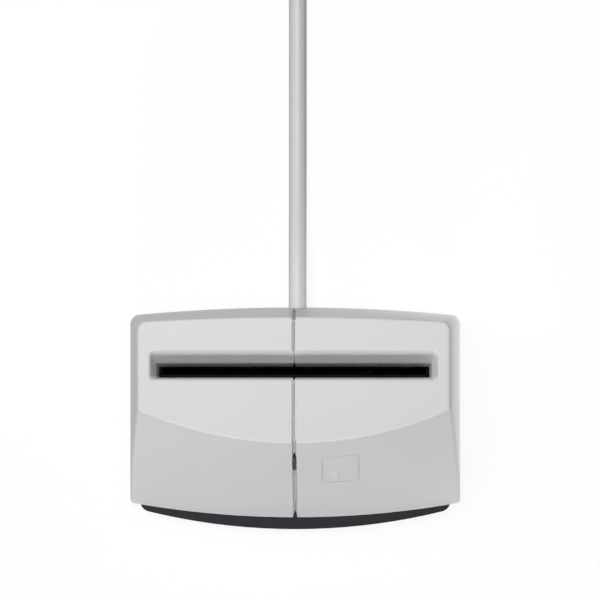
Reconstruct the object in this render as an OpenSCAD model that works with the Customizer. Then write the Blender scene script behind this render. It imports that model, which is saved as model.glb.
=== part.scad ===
// Upright desktop smart card reader, in millimetres.
// The card goes straight down into the slot in the top face, chip towards the sloping front.
// Origin: middle of the footprint, on the desk. +X right, +Y to the cable side, +Z up.

/* [Housing] */
// Width at the bottom edge of the shells
body_w = 69; // [66:1:80]
// Depth at the bottom edge of the shells, on the centre line
body_depth = 43.9; // [42:0.5:56]
// Height above the desk at the rear of the top face
overall_h = 38; // [37:0.5:46]
// Height of the shells' bottom edge above the desk
skirt_z = 3.2; // [2.8:0.1:3.6]
// Wall of the moulded shells
wall = 1.8; // [1.4:0.1:2.2]
// How far each side leans in up to the top
side_draft = 2.06; // [1:0.1:3]
// How far the rear leans in up to the top
rear_draft = 1.86; // [1:0.1:2.6]
// Radius of the rear wall at its bottom edge, in plan
rear_bottom_r = 355; // [200:5:600]
// Radius of the rear wall at the top, in plan
rear_top_r = 514; // [300:5:800]
// Radius of the front at its bottom edge, in plan
front_bottom_r = 194.5; // [120:1:300]
// Radius of the crease between top face and front slope, in plan
crease_r = 80; // [70:1:120]
// How far the front slope runs back from its foot to the crease
slope_run = 16.25; // [13:0.25:17]
// Fall of the top face from its rear edge to the crease
top_fall = 1.8; // [0.5:0.1:2.6]
// Radius of the rear corners, in plan
rear_corner_r = 2; // [1.2:0.1:4]
// Radius of the front corners, in plan
front_corner_r = 1; // [0.6:0.1:2]
// Rounding round the rear and sides of the top face
top_round = 1.1; // [0.6:0.1:1.8]
// Rounding along the crease
crease_round = 0.35; // [0.2:0.05:0.6]
// Width of the groove along the seam, on each shell
seam_w = 0.3; // [0.2:0.05:0.5]
// Depth of the groove along the seam
seam_depth = 0.34; // [0.2:0.02:0.5]
// Gap left between the two shells
seam_gap = 0.06; // [0.02:0.02:0.1]

/* [Card slot] */
// Width of a standard card
card_w = 53.98; // [53.9:0.02:54.1]
// Thickness of a standard card
card_t = 0.76; // [0.7:0.02:0.84]
// Width of the slot in the shells
slot_w = 55.8; // [55:0.1:57]
// Thickness of the slot in the shells
slot_t = 1.94; // [1.6:0.02:2.2]
// From the rear bottom edge forward to the middle of the slot
slot_back = 13.2; // [12.8:0.1:14]
// Depth of the funnel behind the card and at its ends, down to its throat
funnel_depth = 8.8; // [8.4:0.1:9.2]
// Depth of the funnel in front of the card, down to a ledge
ledge_depth = 3.4; // [2.6:0.1:4]
// How far the funnel's end walls run out
funnel_side = 1.65; // [1:0.05:1.8]
// How far the funnel's rear wall runs out
funnel_rear = 2.88; // [2:0.02:3.2]
// How far the funnel's front wall runs out
funnel_front = 0.65; // [0.4:0.05:1]
// Height above the desk at which the card's edge stops
card_stop_z = 8.5; // [8.3:0.1:9]

/* [Base] */
// Width of the dark base
base_w = 64.9; // [62:0.5:66]
// How far the base comes out in front of the shells
base_lip = 2.5; // [1:0.1:4]
// Radius of the base's front edge, in plan
base_front_r = 129; // [100:1:200]
// Wall and floor of the base
base_wall = 1.6; // [1.2:0.1:1.8]
// Height of the base above the desk, on its feet
foot_stand = 0.9; // [0.6:0.1:1.2]
// Diameter of a rubber foot
foot_d = 6.4; // [5:0.2:7]
// Thickness of the ballast plate
ballast_t = 4; // [2:0.5:5]

/* [Card contacts] */
// How far the contact carriage gives way downwards as the card comes home
landing_drop = 3; // [2.6:0.1:3.2]
// How far the carriage comes towards the card over that way
landing_reach = 0.9; // [0.7:0.05:1]
// Thickness of the main board
board_t = 1.6; // [1.2:0.1:2]
// Width of the main board
board_w = 49; // [47:0.5:50]
// Height of the main board
board_h = 23; // [22:0.5:24]
// Swing of the card switch's lever, in degrees
lever_swing = 30; // [24:1:32]

/* [Window] */
// Width of the light window on the seam
window_w = 0.8; // [0.7:0.05:1.2]
// Height of the light window
window_h = 5.7; // [4:0.1:6.5]
// Height above the desk of the window's middle
window_z = 26.65; // [25:0.25:28]

/* [Cable] */
// Diameter of the cable
cable_d = 3.7; // [3.4:0.1:4]
// Height above the desk at which the cable leaves the rear wall
exit_z = 6.4; // [6.2:0.1:7]
// Turns of put-away cable in each layer of the coil
coil_turns = 3; // [2:0.5:4]
// Inner radius of the coil, to the middle of the cable
coil_in_r = 15.9; // [15:0.1:20]
// Clear gap between one turn and the next
coil_gap = 0.45; // [0.42:0.01:0.8]

/* [Hidden] */
$fn = 48;

// One overrun for every cut, the running fit of pins, and the room round parts that drop in
cut = 1;
fit = 0.05;
play = 0.25;

// Colours as photographed, and those usual for the inner parts
shell_grey = [0.89, 0.89, 0.9];
base_grey = [0.2, 0.2, 0.22];
cable_grey = [0.8, 0.8, 0.81];
moulding_black = [0.1, 0.1, 0.11];

// Places along the depth, from the footprint's middle
overall_depth = body_depth + base_lip;
rear_y = overall_depth / 2;
front_y = rear_y - body_depth;
crease_y = front_y + slope_run;
top_rear_y = rear_y - rear_draft;
slot_y = rear_y - slot_back;
half_w = body_w / 2;

// The top face is one plane that falls towards the crease
top_tilt = top_fall / (top_rear_y - crease_y);
function top_z(y) = overall_h - top_tilt * (top_rear_y - y);
slope_rise = top_z(crease_y) - skirt_z;
slope_angle = atan2(slope_rise, slope_run);
function slope_y(z) = front_y + slope_run * (z - skirt_z) / slope_rise;

// Half of a rounded outline, from the rear centre round the +X side to the front centre.
// hw: half width; ry, rr, rc: rear place, radius and corner; fy, fr, fc: the same at the front.
// Each point carries a third number, 1 at the rear and side and falling to 0 on the front arc.
arc_steps = 5;
corner_steps = 5;
front_steps = 9;
function half_outline(hw, ry, rr, rc, fy, fr, fc) =
    let (
        ra = asin((hw - rc) / (rr - rc)),
        fa = asin((hw - fc) / (fr - fc)),
        rcy = ry - rr + (rr - rc) * cos(ra),
        fcy = fy + fr - (fr - fc) * cos(fa)
    )
    concat(
        [for (i = [0 : arc_steps])
            let (a = ra * i / arc_steps)
            [rr * sin(a), ry - rr + rr * cos(a), 1]],
        [for (i = [1 : corner_steps])
            let (a = ra + (90 - ra) * i / corner_steps)
            [hw - rc + rc * sin(a), rcy + rc * cos(a), 1]],
        [for (i = [0 : corner_steps])
            let (a = 90 + (90 - fa) * i / corner_steps)
            [hw - fc + fc * sin(a), fcy + fc * cos(a), 1 - i / corner_steps]],
        [for (i = [1 : front_steps])
            let (a = fa * (1 - i / front_steps))
            [fr * sin(a), fy + fr - fr * cos(a), 0]]
    );

// Outline of the housing at a share of its height, drawn in by d all round
lean_share = 1.5;
function mix(a, b, f) = a + (b - a) * f;
function mix_r(a, b, f) = 1 / mix(1 / a, 1 / b, f);
function housing_outline(f, d) =
    let (lean = pow(max(f, 0), lean_share))
    half_outline(
        half_w - side_draft * lean - d,
        rear_y - rear_draft * lean - d,
        mix_r(rear_bottom_r, rear_top_r, f) - d,
        max(rear_corner_r - d, front_corner_r / 2),
        front_y + slope_run * f + d / sin(slope_angle),
        mix_r(front_bottom_r, crease_r, f) - d,
        max(front_corner_r - d, front_corner_r / 2)
    );

// Rings of the housing from its foot to the top face, drawn in by d all over, top included
wall_shares = [0, 0.17, 0.34, 0.5, 0.65, 0.79, 0.9, 1];
round_shares = [0.3, 0.65, 1];
function height_share(z) = (z - skirt_z) / slope_rise;
function rim_r(w) = mix(crease_round, top_round, w);
function wall_rings(d, foot, rounded) =
    let (
        high = height_share(top_z(crease_y) - d),
        edge = housing_outline(high, d)
    )
    [for (s = wall_shares)
        let (o = housing_outline(mix(height_share(foot), high, s), d))
        [for (i = [0 : len(o) - 1])
            let (z = top_z(edge[i][1]) - d - (rounded ? rim_r(o[i][2]) : 0))
            [o[i][0], o[i][1], mix(foot, z, s)]]];
function round_rings(d) =
    let (
        edge = housing_outline(1, d),
        inner = housing_outline(1, d + top_round)
    )
    [for (s = round_shares)
        [for (i = [0 : len(edge) - 1])
            let (
                w = rim_r(edge[i][2]) / top_round,
                px = mix(edge[i][0], inner[i][0], w),
                py = mix(edge[i][1], inner[i][1], w),
                a = (1 - s) * (1 - s),
                b = 2 * s * (1 - s),
                c = s * s,
                z0 = top_z(edge[i][1]) - d
            )
            [(a + b) * edge[i][0] + c * px, (a + b) * edge[i][1] + c * py,
                a * (z0 - rim_r(edge[i][2])) + b * z0 + c * (top_z(py) - d)]]];

// A closed solid through rings of points, each ring with the same count
module loft(rings, lid = []) {
    n = len(rings[0]);
    last = (len(rings) - 1) * n;
    sides = [for (j = [0 : len(rings) - 2], i = [0 : n - 1])
        let (a = j * n + i, b = j * n + (i + 1) % n)
        each [[a, b, b + n], [a, b + n, a + n]]];
    foot_face = [[for (i = [n - 1 : -1 : 0]) i]];
    top_faces = len(lid) > 0 ? [for (f = lid) [for (i = f) last + i]] : [[for (i = [0 : n - 1]) last + i]];
    polyhedron(points = [for (ring = rings) each ring], faces = concat(sides, foot_face, top_faces), convexity = 6);
}

// Both sides of a ring, or of an outline, from its +X half
function whole(ring) = concat(ring, [for (i = [len(ring) - 2 : -1 : 1])
    [-ring[i][0], ring[i][1], ring[i][2]]]);
function flat(ring) = [for (p = ring) [p[0], p[1]]];

// The +X half of the housing, stepped down along its seam edge into half of a shallow groove
seam_step = 0.06;
seam_places = [[seam_gap / 2, seam_depth], [seam_w, seam_depth], [seam_w + seam_step, 0]];
function seam_end(p, in, down) = [for (k = seam_places) [k[0], p[1] + (1 - down) * in * k[1], p[2] - down * k[1]]];
function flipped(list) = [for (i = [len(list) - 1 : -1 : 0]) list[i]];
function seamed(ring, down) =
    let (n = len(ring))
    concat(seam_end(ring[0], -1, down), [for (i = [1 : n - 2]) ring[i]], flipped(seam_end(ring[n - 1], 1, down)));
module housing_half() {
    walls = [for (r = wall_rings(0, skirt_z, true)) seamed(r, 0)];
    rounds = round_rings(0);
    tops = [for (k = [0 : len(rounds) - 1]) seamed(rounds[k], round_shares[k])];
    n = len(walls[0]);
    inner = len(seam_places) - 1;
    loft(concat(walls, tops), concat([[for (i = [inner : n - 1 - inner]) i]],
        [for (k = [0 : inner - 1]) each [[k, k + 1, n - 2 - k], [k, n - 2 - k, n - 1 - k]]]));
}
module housing_room(d) {
    loft([for (r = wall_rings(d, skirt_z - cut, false)) whole(r)]);
}

// A box between two corners
module block(low, high) {
    translate(low) cube(high - low);
}

// Cylinders along X and along Y, from a to b
module rod_x(a, b, r, y, z) {
    translate([a, y, z]) rotate([0, 90, 0]) cylinder(r = r, h = b - a);
}
module rod_y(x, a, b, r, z) {
    translate([x, a, z]) rotate([-90, 0, 0]) cylinder(r = r, h = b - a);
}

// A profile drawn in depth and height, thick across X from a to b
module across(a, b) {
    translate([a, 0, 0]) rotate([90, 0, 90]) linear_extrude(b - a) children();
}

// A tube along points; side is a direction that the path never takes
function unit(v) = v / norm(v);
function tube_ring(path, i, r, sides, side) =
    let (
        t = unit(path[min(i + 1, len(path) - 1)] - path[max(i - 1, 0)]),
        u = unit(cross(t, side)),
        v = cross(u, t)
    )
    [for (k = [0 : sides - 1])
        let (a = 360 * (k + 0.5) / sides)
        path[i] + r * (cos(a) * v + sin(a) * u)];
module tube(path, r, sides, side = [0, 0, 1]) {
    loft([for (i = [0 : len(path) - 1]) tube_ring(path, i, r, sides, side)]);
}

// Card channel: the clear space between the two guides
channel_slack = 0.5;
card_slack = 0.3;
guide_t = 1.5;
rear_guide_t = 1.3;
rail_w = 1.9;
carriage_room = 5.2;
bar_h = 1.5;
channel_half = card_w / 2 + card_slack;
guide_half = channel_half + rail_w;
channel_front = slot_y - (card_t + channel_slack) / 2;
channel_rear = slot_y + (card_t + channel_slack) / 2;
guide_front_y = channel_front - guide_t;
guide_rear_y = channel_rear + rear_guide_t;
board_rear_y = guide_front_y - carriage_room;
board_front_y = board_rear_y - board_t;
bar_z = card_stop_z - bar_h;

// Funnel and slot in the top face, and the walls that hang from it inside
hopper_wall = 1.2;
hopper_floor = 1;
hopper_seat = 0.2;
ledge_z = top_z(slot_y) - ledge_depth;
throat_z = top_z(slot_y) - funnel_depth;
hopper_z = ledge_z - hopper_floor;
throat_top_z = throat_z - hopper_seat;
guide_top_z = hopper_z - hopper_seat;
slot_corner_r = 0.35;
funnel_corner_r = 0.9;
rim_sink = 0.5;
rim_spread = 0.1;
corner_facets = 3;
rect_corners = [[1, 1], [1, -1], [-1, -1], [-1, 1]];
function rect_ring(x, y_low, y_high, r) = [for (q = [0 : 3], k = [0 : corner_facets])
    let (
        c = rect_corners[q],
        a = 90 * (1 - q - k / corner_facets),
        y = c[1] > 0 ? y_high - r : y_low + r
    )
    [c[0] * (x - r) + r * cos(a), y + r * sin(a)]];
function funnel_ring(front, rear, side, up) =
    let (r = mix(slot_corner_r, funnel_corner_r, rear))
    [for (p = rect_ring(slot_w / 2 + side * funnel_side, slot_y - slot_t / 2 - front * funnel_front,
        slot_y + slot_t / 2 + rear * funnel_rear, r)) [p[0], p[1], mix(throat_z, top_z(p[1]), up)]];

// The funnel's rear and end walls are steep for the lower part of their height
steep_share = 0.5;
steep_rear = 0.25;
steep_side = 0.3;
ledge_share = 1 - ledge_depth / funnel_depth;
rim_share = 1 - rim_sink / funnel_depth;
function flare(steep, up) = mix(steep, 1, (up - steep_share) / (1 - steep_share));
funnel_rings = [
    funnel_ring(0, 0, 0, -cut / funnel_depth),
    funnel_ring(0, 0, 0, 0),
    funnel_ring(0, steep_rear, steep_side, steep_share),
    funnel_ring(0, flare(steep_rear, ledge_share), flare(steep_side, ledge_share), ledge_share),
    funnel_ring((rim_share - ledge_share) / (1 - ledge_share), flare(steep_rear, rim_share),
        flare(steep_side, rim_share), rim_share),
    funnel_ring(1, 1, 1, 1 - rim_sink / funnel_depth / 6),
    funnel_ring(1 + rim_spread, 1 + rim_spread, 1 + rim_spread, 1 + rim_share)];
throat_half = slot_w / 2 + steep_side * funnel_side;
throat_rear_y = slot_y + slot_t / 2 - fit;
notch_w = 0.56;
notch_rear = 1.15;
notch_front = 0.85;
notch_side = 0.25;
notch = [[-notch_w / 2, notch_side], [0, notch_rear], [notch_w / 2, notch_side], [notch_w / 2, -slot_t - notch_side],
    [0, -slot_t - notch_front], [-notch_w / 2, -slot_t - notch_side]];

// Base tray, its rim inside the shells, and the places of its screws and feet
tray_floor_z = foot_stand + base_wall;
rim_h = 1.8;
rim_z = skirt_z + rim_h;
base_inset = 2;
base_corner_r = 2.2;
boss_r = 2.6;
boss_lift = 0.2;
boss_h = 5.8;
boss_z = rim_z + boss_lift;
boss_web = 1.4;
screw_r = 1.05;
screw_head_r = 2.1;
screw_head_t = 1.2;
screw_sink = 0.2;
screw_slot = 0.5;
screw_len = boss_z + boss_h - boss_web - play - foot_stand - screw_sink - screw_head_t;
rear_boss_in = 6.3;
rear_boss_fwd = 6.2;
front_boss_in = 8.5;
front_boss_back = 11.7;
boss_places = [[half_w - rear_boss_in, rear_y - rear_boss_fwd],
    [half_w - front_boss_in, front_y + front_boss_back]];
foot_sink = 0.4;
foot_chamfer = 0.3;
rear_foot_in = 10;
rear_foot_fwd = 13.2;
front_foot_back = 5.7;
foot_places = [[half_w - rear_foot_in, rear_y - rear_foot_fwd],
    [half_w - rear_foot_in, front_y + front_foot_back]];

// Cable, where it passes the rear wall
cable_r = cable_d / 2;
cable_x = 0.5;
exit_sink = 0.1;
exit_y = rear_y - exit_sink;
neck_wall = 0.5;
grommet_w = 6.4;
grommet_h = 7.1;
grommet_front_y = rear_y - rear_boss_fwd;
grommet_rear_y = rear_y - wall - play;

// Light window: local X across, Y up the slope, Z straight out of it
window_y = slope_y(window_z);
window_len = window_h / sin(slope_angle);
arch = 1.1;
module on_slope() {
    translate([0, window_y, window_z]) rotate([slope_angle, 0, 0]) children();
}
module window_shape(w, h) {
    polygon([[-w / 2, -h / 2], [w / 2, -h / 2], [w / 2, h / 2 - arch], [0, h / 2], [-w / 2, h / 2 - arch]]);
}

// Ribs that hold the board's edges and the guides, on each side wall
rib_t = 1.2;
rib_in = 1.8;
rib_low = 1.2;
rib_high = 3.4;
board_low_z = 8;
board_grip = 1.2;
board_high_z = board_low_z + board_h;
guide_rib_w = 2.4;

// Pegs across the seam, on the left half, with sockets in the right one: one pair hangs in the
// rear top corner, the other stands on the slope's inside
rear_peg_in = 3.1;
rear_peg_down = 3.5;
front_peg_z = 10.4;
front_peg_in = 3.15;
peg_places = [[top_rear_y - rear_peg_in, overall_h - rear_peg_down],
    [slope_y(front_peg_z) + front_peg_in, front_peg_z]];
locating_r = 0.9;
locating_len = 2.6;
socket_r = 1.9;
socket_len = 3.6;

// One half of the housing as moulded, drawn on the +X side; the cable hole is off centre,
// so s says which side the half is for
module shell_half(s) {
    difference() {
        union() {
            for (p = peg_places) {
                rod_x(seam_gap / 2, socket_len, socket_r, p[0], p[1]);
                if (s < 0)
                    rod_x(-locating_len, socket_len, locating_r, p[0], p[1]);
            }
            difference() {
                housing_half();
                housing_room(wall);
            }
            block([seam_gap / 2, throat_rear_y, throat_z],
                [throat_half + hopper_wall, slot_y + slot_t / 2 + steep_rear * funnel_rear + hopper_wall, ledge_z]);
            block([slot_w / 2 - fit, slot_y - slot_t / 2 - funnel_front - hopper_wall, throat_z],
                [throat_half + hopper_wall, slot_y + slot_t / 2 + steep_rear * funnel_rear + hopper_wall, ledge_z]);
            block([seam_gap / 2, slot_y - slot_t / 2 - funnel_front - hopper_wall, hopper_z],
                [half_w - side_draft - wall / 2, slot_y + slot_t / 2 + funnel_rear + hopper_wall, top_z(slot_y) - wall * 2 / 3]);
            for (p = boss_places) {
                translate([p[0], p[1], boss_z]) cylinder(r = boss_r, h = boss_h);
                block([p[0], p[1] - boss_web / 2, boss_z], [half_w - rib_in, p[1] + boss_web / 2, boss_z + boss_h]);
            }
            for (y = [board_front_y - play - rib_t, board_rear_y + play])
                block([board_w / 2 - board_grip, y, board_low_z + rib_low],
                    [half_w - rib_in, y + rib_t, board_high_z - rib_high]);
            block([guide_half + play, slot_y - guide_rib_w / 2, board_low_z + rib_high],
                [half_w - rib_in, slot_y + guide_rib_w / 2, board_high_z - rib_high]);
            block([seam_gap / 2, grommet_front_y, tray_floor_z + grommet_h + play],
                [s * cable_x + grommet_w / 2, rear_y - wall, tray_floor_z + grommet_h + play + rib_t]);
        }
        loft(funnel_rings);
        translate([0, slot_y + slot_t / 2, throat_z - cut]) linear_extrude(funnel_depth + 3 * cut) polygon(notch);
        for (p = boss_places)
            translate([p[0], p[1], boss_z - cut]) cylinder(r = screw_r + fit, h = boss_h - boss_web + cut);
        if (s > 0)
            for (p = peg_places)
                rod_x(-cut, locating_len + play, locating_r + fit, p[0], p[1]);
        on_slope() translate([0, 0, -wall - play]) linear_extrude(wall + play + cut)
            window_shape(window_w + 2 * fit, window_len + 2 * fit);
        rod_y(s * cable_x, grommet_rear_y - cut, rear_y + cut, cable_r + neck_wall + fit, exit_z);
    }
}

module right_shell() {
    color(shell_grey) shell_half(1);
}

module left_shell() {
    color(shell_grey) mirror([1, 0, 0]) shell_half(-1);
}

// Dark base that closes the shells from below, with a rim that stands inside them
function rim_outline(d) = housing_outline(height_share(rim_z), wall + play + d);
module base_tray() {
    base_outline = half_outline(base_w / 2, rear_y - base_inset, rear_bottom_r, base_corner_r,
        -overall_depth / 2, base_front_r, base_corner_r);
    color(base_grey) difference() {
        union() {
            difference() {
                union() {
                    translate([0, 0, foot_stand]) linear_extrude(skirt_z - foot_stand)
                        polygon(flat(whole(base_outline)));
                    translate([0, 0, tray_floor_z]) linear_extrude(rim_z - tray_floor_z)
                        polygon(flat(whole(rim_outline(0))));
                }
                translate([0, 0, tray_floor_z]) linear_extrude(rim_h + skirt_z)
                    polygon(flat(whole(rim_outline(base_wall))));
            }
            for (s = [-1, 1], p = boss_places)
                translate([s * p[0], p[1], foot_stand]) cylinder(r = boss_r, h = boss_z - foot_stand);
            for (x = tray_rib_places) {
                block([x - rib_t / 2, guide_front_y, foot_stand + base_wall / 2],
                    [x + rib_t / 2, guide_rear_y, bar_z]);
                block([x - rib_t / 2, board_front_y - rib_t / 2, foot_stand + base_wall / 2],
                    [x + rib_t / 2, board_rear_y + rib_t / 2, board_low_z]);
            }
            for (s = [-1, 1])
                translate([s * ballast_pin_x, ballast_y, foot_stand]) cylinder(r = ballast_pin_r,
                    h = base_wall + ballast_t);
        }
        for (s = [-1, 1], p = boss_places)
            translate([s * p[0], p[1], 0]) {
                cylinder(r = screw_r + play / 2, h = boss_z + cut);
                cylinder(r = screw_head_r + play, h = foot_stand + screw_sink + screw_head_t);
            }
        for (s = [-1, 1], p = foot_places)
            translate([s * p[0], p[1], 0]) cylinder(r = foot_d / 2 + fit, h = foot_stand + foot_sink);
        block([cable_x - grommet_w / 2 - play, grommet_front_y - play, tray_floor_z],
            [cable_x + grommet_w / 2 + play, rear_y - wall, rim_z + cut]);
    }
}

// Steel plate in the front of the base, so that the reader stays put as a card is pulled
ballast_w = 44;
ballast_len = 10;
ballast_back = 12.2;
ballast_corner_r = 1.5;
ballast_pin_r = 1;
ballast_pin_x = 15;
ballast_y = front_y + ballast_back;
tray_rib_places = [-24, -9.5, 9.5, 24];
module ballast_plate() {
    color("silver") translate([0, ballast_y, tray_floor_z]) difference() {
        linear_extrude(ballast_t) rounded_plate(ballast_w, ballast_len, ballast_corner_r);
        for (s = [-1, 1])
            translate([s * ballast_pin_x, 0, -cut]) cylinder(r = ballast_pin_r + fit, h = ballast_t + 2 * cut);
    }
}

// A rectangle with round corners, centred
module rounded_plate(w, h, r) {
    square([w - 2 * r, h], center = true);
    square([w, h - 2 * r], center = true);
    for (x = [-1, 1], y = [-1, 1])
        translate([x * (w / 2 - r), y * (h / 2 - r)]) circle(r);
}

module rubber_feet() {
    r = foot_d / 2;
    h = foot_stand + foot_sink;
    color([0.13, 0.13, 0.13]) for (s = [-1, 1], p = foot_places)
        translate([s * p[0], p[1], 0]) rotate_extrude()
            polygon([[0, 0], [r - foot_chamfer, 0], [r, foot_chamfer], [r, h], [0, h]]);
}

module base_screws() {
    head_z = foot_stand + screw_sink;
    color("dimgray") for (s = [-1, 1], p = boss_places)
        translate([s * p[0], p[1], head_z]) difference() {
            union() {
                cylinder(r = screw_head_r, h = screw_head_t);
                cylinder(r = screw_r, h = screw_head_t + screw_len);
            }
            for (a = [0, 90])
                rotate(a) translate([-screw_head_r * 2 / 3, -screw_slot / 2, -cut])
                    cube([screw_head_r * 4 / 3, screw_slot, cut + screw_head_t / 2]);
        }
}

// Contact carriage, the pins that guide it and the way that they run
chip_x = -3.1;
carriage_half = 7.9;
carriage_t = 2;
carriage_gap = 1.78;
carriage_leg = 2;
carriage_top = 0.8;
carriage_y = board_rear_y + carriage_gap;
carriage_low_z = card_stop_z + landing_drop + carriage_leg;
carriage_high_z = guide_top_z - carriage_top;
carriage_mid_y = carriage_y + carriage_t / 2;
pin_r = 0.7;
pin_low = 2.5;
pin_high = 3;
pin_places = [carriage_low_z + pin_low, carriage_high_z - pin_high];
cheek_gap = 0.3;
cheek_t = 1.2;
cheek_off = carriage_half + cheek_gap;
landing = [0, landing_reach, -landing_drop];
tab_x = 5.5;
tab_w = 1.8;
tab_t = 1.2;
tab_reach = 0.45;
tab_z = card_stop_z + landing_drop - tab_t;

// Contacts, where a standard card has its eight pads
pad_places = [-6.91, -4.37, -1.83, 0.71];
row_heights = [11.25, 18.87];
contact_w = 0.8;
contact_t = 0.2;
contact_sink = 0.37;
tip_y = channel_front - contact_sink;
window_margin = 1.2;
row_low = 1.9;
row_high = 1.6;

// Card switch beside the carriage
switch_x = 15;
switch_w = 6;
switch_h = 4.6;
switch_depth = 4.73;
switch_back = 1;
lever_w = 2.8;
lever_arm_w = 2;
lever_hub_r = 0.9;
lever_pin_r = 0.5;
lever_len = 5.1;
lever_t = 0.6;
lever_rest = 20;
lever_in = 2.53;
lever_rise = 1.1;
lever_y = board_rear_y + lever_in;
lever_z = board_low_z + lever_rise;

// Front guide: the card slides behind it, and it carries the carriage and the switch
post_x = 20.5;
post_r = 1.7;
peg_r = 0.8;
post_low = 5;
post_high = 4;
post_places = [board_low_z + post_low, board_high_z - post_high];
shelf_w = 5;
shelf_t = 1;
rail_x = (guide_half + channel_half) / 2;
rivet_r = 0.45;
rivet_len = 1.4;
rivet_low = 5;
rivet_high = 2.6;
rivet_places = [bar_z + rivet_low, throat_top_z - rivet_high];
neck_in = 0.35;
neck_half = slot_w / 2 - neck_in;
module guide_slots(from_y, to_y) {
    for (s = [-1, 1])
        block([chip_x + s * tab_x - tab_w / 2 - cheek_gap, from_y, bar_z - cut],
            [chip_x + s * tab_x + tab_w / 2 + cheek_gap, to_y, tab_z + tab_t + cheek_gap]);
    block([switch_x - lever_w / 2, from_y, bar_z - cut], [switch_x + lever_w / 2, to_y, board_low_z + switch_h]);
}
module carriage_cheek(s) {
    x = chip_x + s * (cheek_off + cheek_t / 2);
    block([x - cheek_t / 2, board_rear_y + play, pin_places[0] - landing_drop - pin_r - cheek_t],
        [x + cheek_t / 2, channel_front, pin_places[1] + pin_r + cheek_t]);
}
module cheek_slots(s) {
    x = chip_x + s * (cheek_off + cheek_t / 2);
    r = pin_r + fit;
    for (z = pin_places) {
        rod_x(x - cheek_t, x + cheek_t, r, carriage_mid_y, z);
        rod_x(x - cheek_t, x + cheek_t, r, carriage_mid_y + landing_reach, z - landing_drop);
        translate([x - cheek_t, carriage_mid_y, z]) rotate([atan2(-landing_drop, landing_reach), 0, 0])
            translate([0, 0, -r]) cube([2 * cheek_t, norm(landing), 2 * r]);
    }
}
module guide_front() {
    color(moulding_black) difference() {
        union() {
            block([-guide_half, guide_front_y, bar_z], [guide_half, channel_front, throat_top_z]);
            block([-neck_half, guide_front_y, bar_z], [neck_half, channel_front, guide_top_z]);
            block([-guide_half, guide_front_y, bar_z], [guide_half, channel_rear, card_stop_z]);
            block([chip_x - shelf_w / 2, carriage_y - play, card_stop_z - shelf_t],
                [chip_x + shelf_w / 2, channel_front, card_stop_z]);
            for (s = [-1, 1]) {
                block([s * rail_x - rail_w / 2, guide_front_y, bar_z],
                    [s * rail_x + rail_w / 2, channel_rear, throat_top_z]);
                carriage_cheek(s);
                for (z = post_places) {
                    rod_y(s * post_x, board_rear_y, channel_front, post_r, z);
                    rod_y(s * post_x, board_front_y, channel_front, peg_r, z);
                }
            }
        }
        block([pad_places[0] - window_margin, guide_front_y - cut, card_stop_z + row_heights[0] - row_low],
            [pad_places[3] + window_margin, channel_front + cut,
                card_stop_z + row_heights[1] + landing_drop + row_high]);
        guide_slots(guide_front_y - cut, channel_rear + cut);
        for (s = [-1, 1]) {
            cheek_slots(s);
            for (z = rivet_places)
                rod_y(s * rail_x, channel_rear - rivet_len - play, channel_rear + cut, rivet_r + fit, z);
        }
    }
}

// Rear guide: closes the card channel behind, riveted to the front one along its rails
guide_rib_t = 1;
guide_rib_d = 1;
guide_rib_shares = [0.3, 0.75];
lead_in = 0.6;
module guide_rear() {
    color(moulding_black) difference() {
        union() {
            across(-guide_half, guide_half) polygon([[channel_rear, bar_z], [guide_rear_y, bar_z],
                [guide_rear_y, throat_top_z], [channel_rear + lead_in, throat_top_z],
                [channel_rear, throat_top_z - lead_in]]);
            for (f = guide_rib_shares) {
                z = mix(bar_z, throat_top_z, f);
                block([-guide_half, channel_rear + rear_guide_t / 2, z],
                    [guide_half, guide_rear_y + guide_rib_d, z + guide_rib_t]);
            }
            for (s = [-1, 1], z = rivet_places)
                rod_y(s * rail_x, channel_rear - rivet_len, guide_rear_y, rivet_r, z);
        }
        guide_slots(channel_rear - cut, guide_rear_y + cut);
    }
}

// Sprung carriage: the card's edge pushes its two tabs down, and the contacts land on the chip
module contact_carriage() {
    color([0.2, 0.2, 0.21]) {
        block([chip_x - carriage_half, carriage_y, carriage_low_z],
            [chip_x + carriage_half, carriage_y + carriage_t, carriage_high_z]);
        for (s = [-1, 1]) {
            block([chip_x + s * tab_x - tab_w / 2, carriage_y, tab_z],
                [chip_x + s * tab_x + tab_w / 2, carriage_y + carriage_t, carriage_low_z + carriage_leg]);
            block([chip_x + s * tab_x - tab_w / 2, carriage_y, tab_z],
                [chip_x + s * tab_x + tab_w / 2, channel_rear - tab_reach, tab_z + tab_t]);
        }
        for (z = pin_places)
            rod_x(chip_x - cheek_off - cheek_t, chip_x + cheek_off + cheek_t, pin_r, carriage_mid_y, z);
    }
}

// Eight bent contact leaves, one for each pad of the chip
leaf_foot = 4.4;
leaf_bend = 1.6;
leaf_tip = 0.2;
leaf_end = 1;
leaf_back = 0.9;
module contact_springs() {
    foot_y = carriage_y + carriage_t;
    color("gold") for (x = pad_places, h = row_heights) {
        z = card_stop_z + landing_drop + h;
        inner = [[foot_y, z - leaf_foot], [foot_y, z - leaf_bend], [tip_y - contact_t - leaf_tip, z - leaf_tip],
            [tip_y - contact_t, z], [tip_y - contact_t - leaf_tip, z + leaf_tip],
            [tip_y - contact_t - leaf_back, z + leaf_end]];
        outer = [for (i = [len(inner) - 1 : -1 : 0]) inner[i] + [contact_t, 0]];
        across(x - contact_w / 2, x + contact_w / 2) polygon(concat(inner, outer));
    }
}

// Small compression spring between the guide's shelf and the carriage
curl_r = 0.7;
curl_wire_r = 0.15;
curl_count = 5;
curl_steps = 8;
module carriage_spring() {
    path = [for (i = [0 : curl_count * curl_steps])
        let (a = 360 * i / curl_steps, f = i / (curl_count * curl_steps))
        [chip_x + curl_r * cos(a), carriage_mid_y + curl_r * sin(a),
            mix(card_stop_z + curl_wire_r, carriage_low_z - curl_wire_r, f)]];
    color("silver") tube(path, curl_wire_r, 6);
}

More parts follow.
